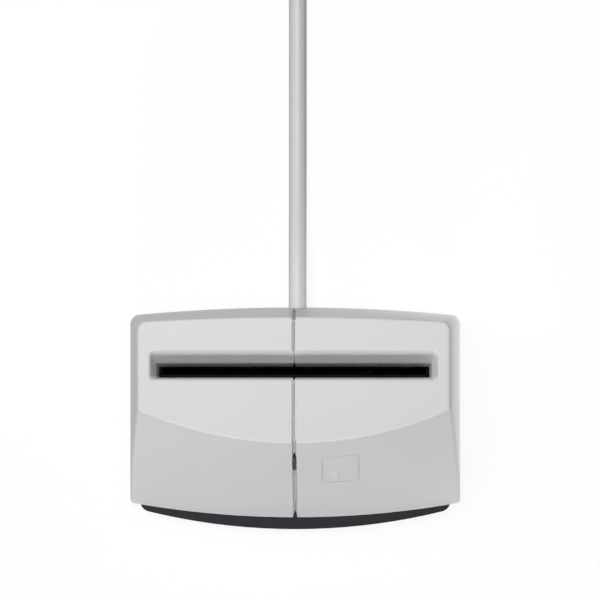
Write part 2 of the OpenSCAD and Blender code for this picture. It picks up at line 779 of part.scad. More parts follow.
// Card switch: a small housing on the board, and a lever that the card's edge presses down
module switch_body() {
    cheek = (switch_w - lever_w) / 2 - play;
    color([0.15, 0.15, 0.16]) difference() {
        union() {
            block([switch_x - switch_w / 2, board_rear_y, board_low_z],
                [switch_x + switch_w / 2, board_rear_y + switch_back, board_low_z + switch_h]);
            for (s = [-1, 1])
                block([switch_x + s * (switch_w - cheek) / 2 - cheek / 2, board_rear_y, board_low_z],
                    [switch_x + s * (switch_w - cheek) / 2 + cheek / 2, board_rear_y + switch_depth,
                        board_low_z + switch_h]);
        }
        rod_x(switch_x - switch_w, switch_x + switch_w, lever_pin_r + fit, lever_y, lever_z);
    }
}
module switch_lever() {
    hub = (lever_w - play) / 2;
    color([0.75, 0.75, 0.77]) {
        rod_x(switch_x - hub, switch_x + hub, lever_hub_r, lever_y, lever_z);
        rod_x(switch_x - switch_w / 2, switch_x + switch_w / 2, lever_pin_r, lever_y, lever_z);
        translate([switch_x, lever_y, lever_z]) rotate([lever_rest, 0, 0])
            translate([-lever_arm_w / 2, 0, -lever_t / 2]) cube([lever_arm_w, lever_len, lever_t]);
    }
}

// Main board, upright in front of the card, with its parts on the front face
module main_board() {
    color("darkgreen") difference() {
        block([-board_w / 2, board_front_y, board_low_z], [board_w / 2, board_rear_y, board_high_z]);
        for (s = [-1, 1], z = post_places)
            rod_y(s * post_x, board_front_y - cut, board_rear_y + cut, peg_r + fit, z);
    }
}

// A box on the board's front face: middle x, bottom z, width, height and depth
module on_board(x, z, w, h, d, off = 0) {
    block([x - w / 2, board_front_y - off - d, z], [x + w / 2, board_front_y - off, z + h]);
}

ic_w = 17.9;
ic_h = 7.5;
ic_d = 2.3;
ic_off = 0.2;
ic_x = -12.8;
ic_up = 10.2;
ic_z = board_low_z + ic_up;
lead_w = 0.42;
lead_t = 0.2;
lead_pitch = 1.27;
lead_out = 1.4;
leads_a_side = 14;
module controller_chip() {
    color([0.12, 0.12, 0.13]) on_board(ic_x, ic_z, ic_w, ic_h, ic_d, ic_off);
}
module chip_leads() {
    mid = board_front_y - ic_off - ic_d / 2;
    knee = lead_out / 2;
    color("silver") for (s = [-1, 1], k = [0 : leads_a_side - 1]) {
        x = ic_x + (k - (leads_a_side - 1) / 2) * lead_pitch;
        z = s > 0 ? ic_z + ic_h : ic_z;
        across(x - lead_w / 2, x + lead_w / 2) polygon([[mid, z], [mid, z + s * knee],
            [board_front_y - lead_t, z + s * knee], [board_front_y - lead_t, z + s * lead_out],
            [board_front_y, z + s * lead_out], [board_front_y, z + s * (knee - lead_t)],
            [mid + lead_t, z + s * (knee - lead_t)], [mid + lead_t, z]]);
    }
}

crystal_w = 11;
crystal_h = 4.6;
crystal_d = 3.4;
crystal_x = 13;
crystal_up = 15.5;
crystal_lip = 0.4;
module stadium(w, h) {
    square([w - h, h], center = true);
    for (s = [-1, 1])
        translate([s * (w - h) / 2, 0]) circle(h / 2);
}
module crystal() {
    color("silver") translate([crystal_x, board_front_y, board_low_z + crystal_up]) rotate([90, 0, 0]) {
        linear_extrude(crystal_lip) stadium(crystal_w + 2 * crystal_lip, crystal_h + 2 * crystal_lip);
        linear_extrude(crystal_d) stadium(crystal_w, crystal_h);
    }
}

can_r = 2.5;
can_base = 5.3;
can_base_t = 1;
can_h = 5.2;
can_places = [11, 17.5];
can_up = 6.2;
module capacitors() {
    z = board_low_z + can_up;
    for (x = can_places) {
        color([0.12, 0.12, 0.12]) on_board(x, z - can_base / 2, can_base, can_base, can_base_t);
        color("silver") rod_y(x, board_front_y - can_h, board_front_y - can_base_t / 2, can_r, z);
    }
}

small_w = 1.25;
small_h = 2;
small_d = 0.5;
small_pitch = 2.2;
small_count = 6;
small_x = 8;
small_up = 20;
module resistors() {
    color([0.1, 0.1, 0.1]) for (k = [0 : small_count - 1])
        on_board(small_x + k * small_pitch, board_low_z + small_up, small_w, small_h, small_d);
}

// Light: a chip on the board, and a clear pipe that carries it to the window on the seam
led_w = 3.2;
led_h = 1.6;
led_d = 1.1;
pipe_gap = 0.1;
collar_w = 2.8;
collar_t = 1.2;
collar_n = wall + play;
pipe_start = 4.4;
pipe_end = 2;
lens_sink = 0.08;
function slope_point(p, n) = [window_y + p * cos(slope_angle) - n * sin(slope_angle),
    window_z + p * sin(slope_angle) + n * cos(slope_angle)];
module led() {
    color([0.9, 0.95, 0.85]) on_board(0, window_z - led_h / 2, led_w, led_h, led_d);
}
module light_pipe() {
    back = board_front_y - led_d - pipe_gap;
    mid_n = collar_n + collar_t / 2;
    color([0.2, 0.22, 0.2]) {
        on_slope() translate([0, 0, -mid_n]) linear_extrude(mid_n - lens_sink)
            window_shape(window_w - 2 * fit, window_len - 2 * fit);
        on_slope() translate([-collar_w / 2, -(window_len + collar_t) / 2, -collar_n - collar_t])
            cube([collar_w, window_len + collar_t, collar_t]);
        across(-window_w / 2, window_w / 2) polygon([slope_point(-pipe_start / 2, -mid_n),
            [back, window_z - pipe_end / 2], [back, window_z + pipe_end / 2],
            slope_point(pipe_start / 2, -mid_n)]);
    }
}

// Header on the board, the plug that goes up into it, and the cable's four wires
wire_count = 4;
wire_r = 0.37;
wire_pitch = 0.8;
plug_pitch = 2;
plug_w = 8.8;
plug_d = 4.2;
plug_h = 6;
plug_low = 1.2;
plug_grip = 2.4;
plug_off = 0.75;
header_wall = 0.6;
header_roof = 1;
header_w = plug_w + 2 * (fit + header_wall);
pin_w = 0.5;
plug_z = board_low_z + plug_low;
plug_top_z = plug_z + plug_h;
header_z = plug_z + plug_grip;
header_top_z = plug_top_z + fit + header_roof;
plug_mid_y = board_front_y - plug_off - plug_d / 2;
module header_row() {
    for (k = [0 : wire_count - 1])
        translate([(k - (wire_count - 1) / 2) * plug_pitch, plug_mid_y, 0]) children();
}
module board_header() {
    color("ivory") difference() {
        on_board(0, header_z, header_w, header_top_z - header_z, plug_off + plug_d + fit + header_wall);
        block([-plug_w / 2 - fit, plug_mid_y - plug_d / 2 - fit, header_z - cut],
            [plug_w / 2 + fit, plug_mid_y + plug_d / 2 + fit, plug_top_z + fit]);
        header_row() translate([-pin_w / 2, -pin_w / 2, header_z]) cube([pin_w, pin_w, header_top_z]);
    }
}
module header_pins() {
    color("gold") header_row() {
        translate([-pin_w / 2, -pin_w / 2, header_z + header_roof])
            cube([pin_w, pin_w, header_top_z + pin_w - header_z]);
        translate([-pin_w / 2, -pin_w / 2, header_top_z + header_roof])
            cube([pin_w, board_front_y - plug_mid_y + pin_w / 2, pin_w]);
    }
}
module wire_plug() {
    color("white") difference() {
        block([-plug_w / 2, plug_mid_y - plug_d / 2, plug_z], [plug_w / 2, plug_mid_y + plug_d / 2, plug_top_z]);
        header_row() translate([0, 0, header_z]) cylinder(r = pin_w, h = plug_h);
    }
}

jacket_inside = 3;
cable_end_y = grommet_front_y - jacket_inside;
wire_bend = 1.5;
wire_drop = 1.9;
wire_z = exit_z - wire_drop;
wire_tints = ["red", "white", "green", "black"];
module cable_wires() {
    for (k = [0 : wire_count - 1]) {
        x0 = cable_x + (k - (wire_count - 1) / 2) * wire_pitch;
        x1 = (k - (wire_count - 1) / 2) * plug_pitch;
        color(wire_tints[k]) tube([
            [x0, cable_end_y, exit_z],
            [x0, cable_end_y - wire_bend, exit_z],
            [mix(x0, x1, 0.3), mix(cable_end_y, guide_front_y, 0.5), mix(exit_z, wire_z, 0.7)],
            [mix(x0, x1, 0.8), guide_front_y, wire_z],
            [x1, mix(guide_front_y, plug_mid_y, 0.6), wire_z],
            [x1, plug_mid_y + wire_bend, mix(wire_z, plug_z, 0.15)],
            [x1, plug_mid_y + wire_bend / 3, mix(wire_z, plug_z, 0.4)],
            [x1, plug_mid_y, mix(wire_z, plug_z, 0.7)],
            [x1, plug_mid_y, plug_z]], wire_r, 6, [1, 0, 0]);
    }
}

// The cable's jacket inside the housing, and the moulded grommet that holds it
module cable_end() {
    color(cable_grey) rod_y(cable_x, cable_end_y, exit_y, cable_r, exit_z);
}
module cable_grommet() {
    color(cable_grey * 0.8) difference() {
        union() {
            block([cable_x - grommet_w / 2, grommet_front_y, tray_floor_z],
                [cable_x + grommet_w / 2, grommet_rear_y, tray_floor_z + grommet_h]);
            rod_y(cable_x, grommet_front_y, exit_y, cable_r + neck_wall, exit_z);
        }
        rod_y(cable_x, grommet_front_y - cut, exit_y + cut, cable_r + fit / 2, exit_z);
    }
}

// Free cable: out of the rear wall, down to the desk and straight back.
// Points are from the exit along the desk, with heights above its lying height.
lie_z = 1.9;
lead_points = [[0, 0, 4.5], [0, 4, 4.5], [0, 9, 4.1], [0, 14, 3.2], [0, 19, 2.1], [0, 24, 1.1],
    [0, 30, 0.3], [0, 36, 0], [0, 43, 0], [0, 51, 0], [0, 59, 0], [0, 67, 0], [0, 75, 0], [0, 82, 0],
    [0, 88, 0], [0, 93, 0]];
lead = [for (p = lead_points) [cable_x + p[0], exit_y + p[1], lie_z + p[2]]];
lead_end = lead[len(lead) - 1];
module cable_lead() {
    color(cable_grey) tube(lead, cable_r, 8);
}

// Put-away cable: four layers wound in, out, in and out, then across the top to the plug
ring_steps = 24;
coil_pitch = cable_d + coil_gap;
coil_out_r = coil_in_r + coil_turns * coil_pitch;
coil_x = lead_end[0] - coil_out_r;
coil_y = lead_end[1] + cable_d;
last_turn = 1.1;
all_turns = 3 * coil_turns + last_turn;
end_r = coil_in_r + last_turn * coil_pitch;
end_angle = 360 * all_turns;
cross_r = 12.5;
cross_angle = 105;
cross_steps = 7;
rise_back = 25;
rise_on = 15;
over_h = 7.8;
over_w = 15.6;
rest_gap = 0.2;
plug_lift = cable_r + over_h / 2 + rest_gap;
coil_top_z = lie_z + 3 * coil_pitch;
function smooth(s) = let (f = min(max(s, 0), 1)) f * f * (3 - 2 * f);
function climbs(t) = [for (k = [1 : 3]) smooth(2 * (t - k * coil_turns) + 0.5)] * [1, 1, 1];
function coil_r(t) =
    let (u = t - 2 * coil_turns * floor(t / (2 * coil_turns)))
    u < coil_turns ? coil_out_r - coil_pitch * u : coil_in_r + coil_pitch * (u - coil_turns);
function rise(s) = plug_lift * smooth((s + rise_back) / (rise_back + rise_on));
winding = [for (i = [0 : round(all_turns * ring_steps)])
    let (t = i / ring_steps, back = (all_turns - t) * 2 * PI * end_r)
    [coil_x + coil_r(t) * cos(360 * t), coil_y + coil_r(t) * sin(360 * t),
        lie_z + coil_pitch * climbs(t) + rise(-back)]];
cross_at = [coil_x, coil_y] + (end_r - cross_r) * [cos(end_angle), sin(end_angle)];
crossing = [for (i = [1 : cross_steps])
    let (b = cross_angle * i / cross_steps)
    [cross_at[0] + cross_r * cos(end_angle + b), cross_at[1] + cross_r * sin(end_angle + b),
        coil_top_z + rise(cross_r * b * PI / 180)]];
plug_angle = end_angle + cross_angle + 90;
plug_at = crossing[cross_steps - 1] + cable_d * [cos(plug_angle), sin(plug_angle), 0];
coil_path = concat([lead_end], winding, crossing, [plug_at]);
skip = 8;
least_gap = min([for (i = [0 : len(coil_path) - skip - 1], j = [i + skip : len(coil_path) - 1])
    norm(coil_path[i] - coil_path[j])]) - cable_d;
function path_length(p) = [for (i = [1 : len(p) - 1]) norm(p[i] - p[i - 1])] * [for (i = [1 : len(p) - 1]) 1];
echo(least_gap = least_gap);
echo(cable_length = path_length(lead) + path_length(coil_path));
echo(plug_at = plug_at, plug_angle = plug_angle);
module cable_coil() {
    color(cable_grey) tube(coil_path, cable_r, 6);
}

// Plug: an overmould, a folded steel shell, and the tongue with its four contacts.
// Drawn along +X from the end of the cable.
boot_len = 6;
boot_r = 3.2;
boot_wall = 0.6;
over_len = 20;
over_corner_r = 1.6;
plug_shell_w = 12;
plug_shell_h = 4.5;
plug_shell_len = 12;
plug_shell_t = 0.3;
plug_hole = 2.2;
plug_hole_y = 2.7;
plug_hole_back = 5;
tongue_t = 1.9;
tongue_len = 11;
strip_w = 1;
strip_t = 0.1;
strip_len = 7.5;
strip_places = [-3.5, -1, 1, 3.5];
plug_face_x = boot_len + over_len;
module at_plug() {
    translate(plug_at) rotate([0, 0, plug_angle]) children();
}
module usb_overmould() {
    color([0.75, 0.75, 0.76]) at_plug() {
        rotate([0, 90, 0]) cylinder(r1 = cable_r + boot_wall, r2 = boot_r, h = boot_len);
        translate([boot_len, 0, 0]) rotate([90, 0, 90]) linear_extrude(over_len)
            rounded_plate(over_w, over_h, over_corner_r);
    }
}
module usb_shell() {
    t = plug_shell_t;
    color("silver") at_plug() translate([plug_face_x, 0, 0]) difference() {
        translate([0, -plug_shell_w / 2, -plug_shell_h / 2]) cube([plug_shell_len, plug_shell_w, plug_shell_h]);
        translate([t, -plug_shell_w / 2 + t, -plug_shell_h / 2 + t])
            cube([plug_shell_len, plug_shell_w - 2 * t, plug_shell_h - 2 * t]);
        for (s = [-1, 1])
            translate([plug_hole_back, s * plug_hole_y - plug_hole / 2, -plug_shell_h])
                cube([plug_hole, plug_hole, 2 * plug_shell_h]);
    }
}
module usb_tongue() {
    w = plug_shell_w - 2 * plug_shell_t;
    color("white") at_plug()
        translate([plug_face_x + plug_shell_t, -w / 2, plug_shell_h / 2 - plug_shell_t - tongue_t])
            cube([tongue_len, w, tongue_t]);
}
module usb_contacts() {
    z = plug_shell_h / 2 - plug_shell_t - tongue_t - strip_t;
    color("gold") at_plug() for (y = strip_places)
        translate([plug_face_x + tongue_len - strip_len, y - strip_w / 2, z]) cube([strip_len, strip_w, strip_t]);
}

left_shell();
right_shell();
base_tray();
ballast_plate();
rubber_feet();
base_screws();
guide_front();
guide_rear();
contact_carriage();
contact_springs();
carriage_spring();
switch_body();
switch_lever();
main_board();
controller_chip();
chip_leads();
crystal();
capacitors();
resistors();
led();
light_pipe();
board_header();
header_pins();
wire_plug();
cable_wires();
cable_end();
cable_grommet();
cable_lead();
cable_coil();
usb_overmould();
usb_shell();
usb_tongue();
usb_contacts();
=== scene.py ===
import math

import bmesh
import bpy
from mathutils import Matrix, Vector


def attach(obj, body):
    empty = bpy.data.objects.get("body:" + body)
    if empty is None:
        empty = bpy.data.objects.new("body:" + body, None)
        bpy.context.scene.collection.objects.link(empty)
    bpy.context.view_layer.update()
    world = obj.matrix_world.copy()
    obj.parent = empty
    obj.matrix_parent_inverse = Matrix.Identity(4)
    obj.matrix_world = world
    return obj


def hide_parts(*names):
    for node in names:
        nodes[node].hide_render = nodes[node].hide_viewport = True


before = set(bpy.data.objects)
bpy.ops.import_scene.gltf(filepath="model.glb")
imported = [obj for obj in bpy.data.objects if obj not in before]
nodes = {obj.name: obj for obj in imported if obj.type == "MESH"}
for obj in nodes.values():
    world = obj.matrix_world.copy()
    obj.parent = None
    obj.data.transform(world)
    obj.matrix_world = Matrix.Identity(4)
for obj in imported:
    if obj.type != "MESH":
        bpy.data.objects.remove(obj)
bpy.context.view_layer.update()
mm = 0.001

# View: straight down on the desk from two metres, a little to the right of the
# reader, so that the right side wall shows more than the left one.
view_height, view_y = 2.0, 24.77 * mm
camera_x, aim_x = 15.7 * mm, 0.96 * mm
camera = bpy.data.objects.new("camera", bpy.data.cameras.new("camera"))
bpy.context.collection.objects.link(camera)
camera.location = (camera_x, view_y, view_height)
back = (camera.location - Vector((aim_x, view_y, 0))).normalized()
right = Vector((0, 1, 0)).cross(back).normalized()
camera.rotation_euler = Matrix((right, back.cross(right), back)).transposed().to_euler()
camera.data.sensor_width = 36
camera.data.lens = 572.4
camera.data.clip_end = 20
bpy.context.scene.camera = camera
bpy.context.scene.view_settings.view_transform = "Standard"

# Desk: a pale, matt, even top. The camera and reflections see it as paper white. To other light it
# is dark, but a round patch to the reader's right glows: painted light that throws light back up on
# the reader's right side only, as from a card that lies there.
desk_half = 3
floor_mesh = bpy.data.meshes.new("desk_top")
floor_mesh.from_pydata([(-desk_half, -desk_half, 0), (desk_half, -desk_half, 0),
    (desk_half, desk_half, 0), (-desk_half, desk_half, 0)], [], [(0, 1, 2, 3)])
floor = bpy.data.objects.new("desk_top", floor_mesh)
bpy.context.collection.objects.link(floor)


def fed(tree, kind, *sources):
    """A new node of that kind, whose first inputs take the sources in order."""
    made = tree.nodes.new(kind)
    for socket, source in zip(made.inputs, sources):
        tree.links.new(source, socket)
    return made


def tinted(tree, kind, colour):
    """A new shader node of that kind in a plain colour."""
    made = tree.nodes.new(kind)
    made.inputs["Color"].default_value = (*colour, 1)
    return made


def seen_or_not(tree):
    """A value that is 1 for what the camera, a reflection or a lens sees, and 0 for other light."""
    path = tree.nodes.new("ShaderNodeLightPath")
    seen = path.outputs["Is Camera Ray"]
    for way in ("Is Glossy Ray", "Is Transmission Ray"):
        either = fed(tree, "ShaderNodeMath", seen, path.outputs[way])
        either.operation = "MAXIMUM"
        seen = either.outputs[0]
    return seen


# The glowing patch of desk, painted light in place of a white card's bounce: where, how wide, and
# how strongly it glows
card_at, card_reach = (66 * mm, 20 * mm, 0), 60 * mm
card_core, card_strength = 0.5, 2.1
desk = bpy.data.materials.new("pale_desk")
desk.use_nodes = True
tree = desk.node_tree
tree.nodes.clear()
paper = tinted(tree, "ShaderNodeBsdfDiffuse", (0.13, 0.13, 0.13))
glow = tinted(tree, "ShaderNodeEmission", (1, 1, 1))
glow.inputs["Strength"].default_value = 0.90
lit = fed(tree, "ShaderNodeAddShader", paper.outputs[0], glow.outputs[0])
place = tree.nodes.new("ShaderNodeNewGeometry")
card_place = fed(tree, "ShaderNodeMapping", place.outputs["Position"])
card_place.vector_type = "TEXTURE"
card_place.inputs["Location"].default_value = card_at
card_place.inputs["Scale"].default_value = (card_reach, card_reach, card_reach)
card_shape = fed(tree, "ShaderNodeTexGradient", card_place.outputs[0])
card_shape.gradient_type = "SPHERICAL"
card_light = fed(tree, "ShaderNodeMapRange", card_shape.outputs["Fac"])
card_light.inputs["From Max"].default_value = card_core
card_light.inputs["To Max"].default_value = card_strength
card = tinted(tree, "ShaderNodeEmission", (1, 1, 1))
tree.links.new(card_light.outputs[0], card.inputs["Strength"])
dull = tinted(tree, "ShaderNodeBsdfDiffuse", (0.04, 0.04, 0.04))
low = fed(tree, "ShaderNodeAddShader", dull.outputs[0], card.outputs[0])
pick = fed(tree, "ShaderNodeMixShader", seen_or_not(tree), low.outputs[0], lit.outputs[0])
fed(tree, "ShaderNodeOutputMaterial", pick.outputs[0])
floor_mesh.materials.append(desk)

# Studio: a broad key from high above and a softbox near the reader's left rear, which
# falls off to the front; a low fill from the front for the slope, and weak ones from the
# left and from the right rear, in a dim surround.
world = bpy.data.worlds.new("studio")
bpy.context.scene.world = world
world.use_nodes = True
tree = world.node_tree
tree.nodes.clear()
surround = tinted(tree, "ShaderNodeBackground", (0.02, 0.02, 0.0205))
white = tinted(tree, "ShaderNodeBackground", (1, 1, 1))
pick = fed(tree, "ShaderNodeMixShader", seen_or_not(tree), surround.outputs[0], white.outputs[0])
fed(tree, "ShaderNodeOutputWorld", pick.outputs[0])


def aimed(light, towards):
    """The light as an object of its own name that shines from that direction."""
    made = bpy.data.objects.new(light.name, light)
    bpy.context.collection.objects.link(made)
    made.rotation_euler = Vector(towards).to_track_quat("Z", "Y").to_euler()
    return made


def lamp(name, towards, share, spread=24):
    """A distant lamp; share is the tone that it alone gives to a white card held square to it,
    and spread its width in degrees."""
    light = bpy.data.lights.new(name, "SUN")
    light.energy = math.pi * share
    light.angle = math.radians(spread)
    aimed(light, towards)


lamp("key", (-0.10, 0.05, 0.99), 0.22)
lamp("front_fill", (0, -0.99, 0.12), 0.64)
lamp("left_fill", (-0.86, 0.20, 0.45), 0.13)
lamp("rear_fill", (0.705, 0.705, 0.07), 0.08)
near = bpy.data.lights.new("softbox", "AREA")
near.energy, near.size = 0.38, 140 * mm
near_at = Vector((-50 * mm, 88 * mm, 290 * mm))
aimed(near, near_at - Vector((0, 0, 37 * mm))).location = near_at


# Cable: one 3.7 mm round four-core lead in smooth grey PVC, a metre and a half
# long. It leaves low in the rear wall, drops to the desk and runs straight back;
# what is left over is wound in four layers, ready for storage, with the plug on top.
def tone_group(name, grain, cloud, stretch):
    """A group with a fine height and a slow tone, both from noise in the part's own space; grain
    and cloud are the scales of the two."""
    group = bpy.data.node_groups.new(name, "ShaderNodeTree")
    for label, way, value in (("Grain", "INPUT", grain), ("Cloud", "INPUT", cloud),
            ("Height", "OUTPUT", 0), ("Tone", "OUTPUT", 0)):
        socket = group.interface.new_socket(label, in_out=way, socket_type="NodeSocketFloat")
        socket.default_value = value
    begin = group.nodes.new("NodeGroupInput")
    end = group.nodes.new("NodeGroupOutput")
    place = group.nodes.new("ShaderNodeTexCoord")
    pulled = fed(group, "ShaderNodeMapping", place.outputs["Object"])
    pulled.inputs["Scale"].default_value = stretch
    for size, result, detail, rough in (("Grain", "Height", 3, 0.6), ("Cloud", "Tone", 2, 0.5)):
        noise = fed(group, "ShaderNodeTexNoise", pulled.outputs[0])
        noise.inputs["Detail"].default_value = detail
        noise.inputs["Roughness"].default_value = rough
        group.links.new(begin.outputs[size], noise.inputs["Scale"])
        group.links.new(noise.outputs["Fac"], end.inputs[result])
    return group


spark_grain = tone_group("spark_grain", 5200.0, 45.0, (1, 1, 1))
brushed = tone_group("brushed_grain", 3000.0, 120.0, (1, 0.06, 1))
grain_depth = 0.02 * mm


def finish(name, low, high, rough, spread, group=spark_grain, bump=0.05, metallic=0, specular=0.5):
    """A material whose colour runs from low to high with the slow tone, and its roughness by
    spread to each side; its surface has the group's fine height, at the strength of bump."""
    made = bpy.data.materials.new(name)
    made.use_nodes = True
    tree = made.node_tree
    shader = tree.nodes["Principled BSDF"]
    shader.inputs["Metallic"].default_value = metallic
    shader.inputs["Specular IOR Level"].default_value = specular
    grain = tree.nodes.new("ShaderNodeGroup")
    grain.node_tree = group
    colour = tree.nodes.new("ShaderNodeMix")
    colour.data_type = "RGBA"
    colour.inputs["A"].default_value = (*low, 1)
    colour.inputs["B"].default_value = (*high, 1)
    tree.links.new(grain.outputs["Tone"], colour.inputs["Factor"])
    tree.links.new(colour.outputs["Result"], shader.inputs["Base Color"])
    gloss = fed(tree, "ShaderNodeMapRange", grain.outputs["Tone"])
    gloss.inputs["To Min"].default_value = rough - spread
    gloss.inputs["To Max"].default_value = rough + spread
    tree.links.new(gloss.outputs[0], shader.inputs["Roughness"])
    relief = tree.nodes.new("ShaderNodeBump")
    relief.inputs["Strength"].default_value = bump
    relief.inputs["Distance"].default_value = grain_depth
    tree.links.new(grain.outputs["Height"], relief.inputs["Height"])
    tree.links.new(relief.outputs[0], shader.inputs["Normal"])
    return made


def dress(material, *pieces):
    """Gives each piece that material and no other."""
    for piece in pieces:
        piece.data.materials.clear()
        piece.data.materials.append(material)


cable_r = 1.85
exit_x, exit_y, exit_z = 0.5, 23.1, 6.4
lie_z = 1.9
lead_drop = [(0, 4.5), (4, 4.5), (9, 4.1), (14, 3.2), (19, 2.1), (24, 1.1), (30, 0.3), (36, 0),
    (43, 0), (51, 0), (59, 0), (67, 0), (75, 0), (82, 0), (88, 0), (93, 0)]
lead = [Vector((exit_x, exit_y + y, lie_z + z)) for y, z in lead_drop]
layers, turns, last_turn = 3, 3, 1.1
inner_r, pitch = 15.9, 4.15
outer_r = inner_r + turns * pitch
end_r = inner_r + last_turn * pitch
all_turns = layers * turns + last_turn
coil_at = Vector((lead[-1].x - outer_r, lead[-1].y + 2 * cable_r, lie_z))
hop = 0.5
plug_w, plug_h = 15.6, 7.8
plug_lift = cable_r + plug_h / 2 + 0.2
lift_before, lift_run = 25, 40


def smooth(share):
    """The share, limited to 0 to 1, with a gentle start and end."""
    share = min(max(share, 0), 1)
    return share * share * (3 - 2 * share)


def winding(t):
    """A point of the coil, t turns from its start. Each layer winds in or out, the cable climbs
    to the next one within a hop, and it lifts to the plug before its end."""
    u = t % (2 * turns)
    r = outer_r - pitch * u if u < turns else inner_r + pitch * (u - turns)
    climb = sum(smooth((t - k * turns) / hop + 0.5) for k in range(1, layers + 1))
    lift = plug_lift * smooth((lift_before - (all_turns - t) * 2 * math.pi * end_r) / lift_run)
    a = 2 * math.pi * t
    return coil_at + Vector((r * math.cos(a), r * math.sin(a), pitch * climb + lift))


def through(points, steps):
    """The points joined by a curve that passes them all, with steps between each two."""
    ends = [2 * points[0] - points[1], *points, 2 * points[-1] - points[-2]]
    found = []
    for a, b, c, d in zip(ends, ends[1:], ends[2:], ends[3:]):
        for k in range(steps):
            t = k / steps
            found.append(0.5 * (2 * b + (c - a) * t + (2 * a - 5 * b + 4 * c - d) * t * t
                + (3 * b - a - 3 * c + d) * t ** 3))
    return found + [points[-1]]


end_a = 2 * math.pi * all_turns
cross_r, cross_turn, cross_steps = 12.5, 105, 14
cross_at = coil_at + (end_r - cross_r) * Vector((math.cos(end_a), math.sin(end_a), 0))
crossing = []
for k in range(1, cross_steps + 1):
    b = math.radians(cross_turn) * k / cross_steps
    lift = plug_lift * smooth((lift_before + cross_r * b) / lift_run)
    crossing.append(cross_at + Vector((cross_r * math.cos(end_a + b),
        cross_r * math.sin(end_a + b), layers * pitch + lift)))
plug_a = end_a + math.radians(cross_turn + 90)
plug_at = crossing[-1] + 2 * cable_r * Vector((math.cos(plug_a), math.sin(plug_a), 0))
per_turn, per_lead_point = 48, 4
wound = [winding(k / per_turn) for k in range(round(per_turn * all_turns) + 1)]
route = through(lead, per_lead_point) + wound + crossing + [plug_at]
line = bpy.data.curves.new("cable", "CURVE")
line.dimensions = "3D"
line.bevel_depth = cable_r * mm
line.bevel_resolution = 5
line.use_fill_caps = True
spline = line.splines.new("POLY")
spline.points.add(len(route) - 1)
for spot, p in zip(spline.points, route):
    spot.co = (*(p * mm), 1)
cable = bpy.data.objects.new("cable", line)
bpy.context.collection.objects.link(cable)
pvc = finish("grey_pvc", (0.73, 0.73, 0.745), (0.77, 0.77, 0.785), 0.42, 0.05, bump=0.04)
dress(pvc, cable, nodes["cable_end"])
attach(cable, "reader")
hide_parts("cable_lead", "cable_coil")


# Plug: a grey overmould with a ribbed bend relief and sunk finger grips, moulded on
# the cable and round the back of the folded and plated steel shell.
def flat_cap(work, ring):
    """Closes the ring with one face."""
    work.faces.new(ring)


def lofted(name, rings, cap=flat_cap):
    """A solid through rings of points in millimetres, each ring with the same count; cap closes
    its last ring. With no cap, the last ring joins the first."""
    mesh = bpy.data.meshes.new(name)
    work = bmesh.new()
    rows = [[work.verts.new((x * mm, y * mm, z * mm)) for x, y, z in ring] for ring in rings]
    for a, b in zip(rows, rows[1:] if cap else rows[1:] + rows[:1]):
        for corners in zip(a, a[1:] + a[:1], b[1:] + b[:1], b):
            work.faces.new(corners)
    if cap:
        work.faces.new(rows[0][::-1])
        cap(work, rows[-1])
    bmesh.ops.recalc_face_normals(work, faces=work.faces)
    work.to_mesh(mesh)
    work.free()
    piece = bpy.data.objects.new(name, mesh)
    bpy.context.collection.objects.link(piece)
    return piece


def smooth_shade(piece, angle=32):
    """Smooth shading that keeps edges sharper than angle, and lets large faces stay flat."""
    piece.data.shade_smooth()
    piece.data.set_sharp_from_angle(angle=math.radians(angle))
    even = piece.modifiers.new("even_normals", "WEIGHTED_NORMAL")
    even.keep_sharp = True


def soften(piece, width, angle=40):
    """Breaks the edges of a piece that are sharper than angle by width, in millimetres."""
    joined = piece.modifiers.new("joined", "WELD")
    joined.merge_threshold = 0.002 * mm
    broken = piece.modifiers.new("broken_edges", "BEVEL")
    broken.width = width * mm
    broken.segments = 2
    broken.limit_method = "ANGLE"
    broken.angle_limit = math.radians(angle)
    broken.harden_normals = True
    piece.data.shade_smooth()


def circle(r, sides=48):
    """The points of a circle, as pairs."""
    angles = [math.radians(360 * i / sides) for i in range(sides)]
    return [(r * math.cos(a), r * math.sin(a)) for a in angles]


def round_rect(x0, x1, y0, y1, r, steps=6):
    """The points of a rectangle with round corners, as pairs."""
    found = []
    for cx, cy, start in ((x1 - r, y1 - r, 0), (x0 + r, y1 - r, 90), (x0 + r, y0 + r, 180),
            (x1 - r, y0 + r, 270)):
        for k in range(steps + 1):
            a = math.radians(start + 90 * k / steps)
            found.append((cx + r * math.cos(a), cy + r * math.sin(a)))
    return found


# Each rib by its places along the relief and how far out they are; then the same for each
# ring of the overmould by its place, width, height and corner radius
ribs, rib_pitch, rib_r, rib_taper = 5, 1.2, 2.45, 0.15
rib_profile = [(0, -0.28), (0.12, 0), (0.75, 0.06), (0.87, -0.22)]
boot_profile = [(rib_pitch * k + x, rib_r + rib_taper * k + out)
    for k in range(ribs) for x, out in rib_profile] + [(6.4, 2.8)]
boot = lofted("bend_relief", [[(x, y, z) for y, z in circle(r)] for x, r in boot_profile])
plug_corner = 1.6
grips, grip_start, grip_pitch, grip_w, grip_corner = 6, 9.4, 1.5, 14.9, 1.4
grip_profile = [(0, plug_w, plug_corner), (0.22, grip_w, grip_corner),
    (0.68, grip_w, grip_corner), (0.9, plug_w, plug_corner)]
plug_back = [(6.0, 12.6, 5.6, 1.6), (6.15, 14.4, 6.9, 1.7), (6.6, 15.2, 7.5, 1.7),
    (7.4, plug_w, plug_h, plug_corner)]
plug_grips = [(grip_start + grip_pitch * k + x, w, plug_h, r)
    for k in range(grips) for x, w, r in grip_profile]
plug_front = [(25.2, plug_w, plug_h, plug_corner), (25.75, 15.3, 7.5, 1.5), (26, 14.7, 6.9, 1.3)]
grip = lofted("plug_overmould", [[(x, y, z) for y, z in round_rect(-w / 2, w / 2, -h / 2, h / 2, r)]
    for x, w, h, r in plug_back + plug_grips + plug_front])
